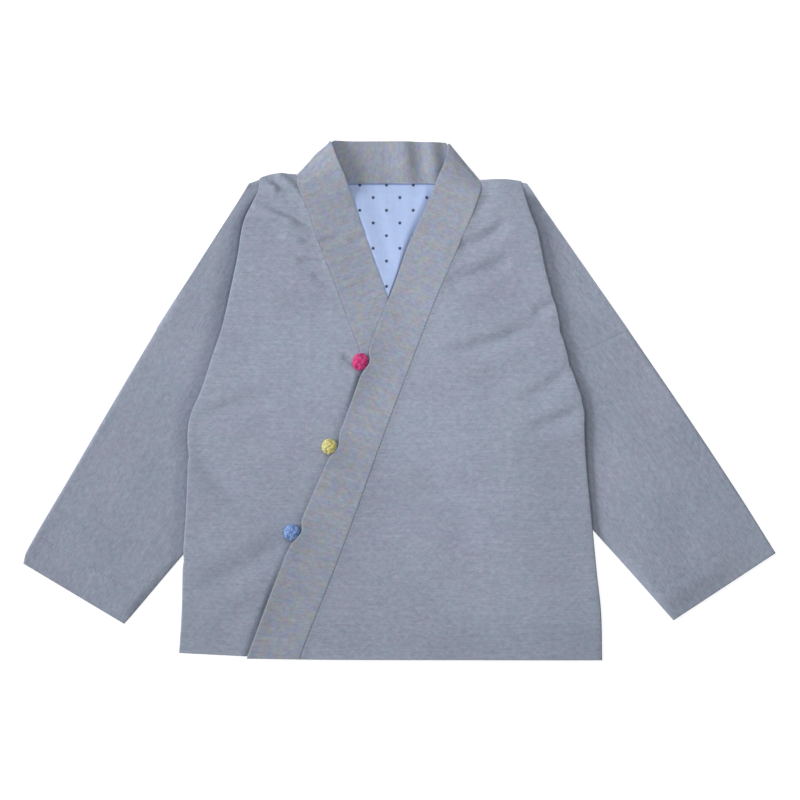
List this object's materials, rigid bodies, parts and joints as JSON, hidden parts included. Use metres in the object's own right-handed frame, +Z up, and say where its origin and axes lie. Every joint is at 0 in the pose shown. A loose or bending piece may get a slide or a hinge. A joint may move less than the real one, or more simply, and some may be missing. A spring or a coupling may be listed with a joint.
{
  "type": "chinese jacket",
  "caption": "Child's lined cotton jacket with a crossed collar band, wide sleeves and knotted buttons, laid flat with its sleeves folded down behind the body.",
  "frame": {"origin": "centre of the garment's outline, on the surface it lies on", "axes": "+X towards the wearer's left sleeve, +Y from the hem to the collar, +Z up off the surface"},
  "size_m": [0.6029, 0.416, 0.0175],
  "materials": {
    "cloth": "matt, finely heathered grey-blue cotton",
    "lining": "matt light blue cotton with small dark blue dots",
    "pink_cord": "soft satin cord",
    "yellow_cord": "soft satin cord",
    "blue_cord": "soft satin cord"
  },
  "bodies": {
    "root": {"back": "cloth", "front_under": "cloth", "front_over": "cloth", "sleeve_right": "cloth", "sleeve_left": "cloth", "collar_band": "cloth", "back_lining": "lining", "button_top": "pink_cord", "loop_top": "pink_cord", "button_middle": "yellow_cord", "loop_middle": "yellow_cord", "button_bottom": "blue_cord", "loop_bottom": "blue_cord"}
  },
  "joints": []
}
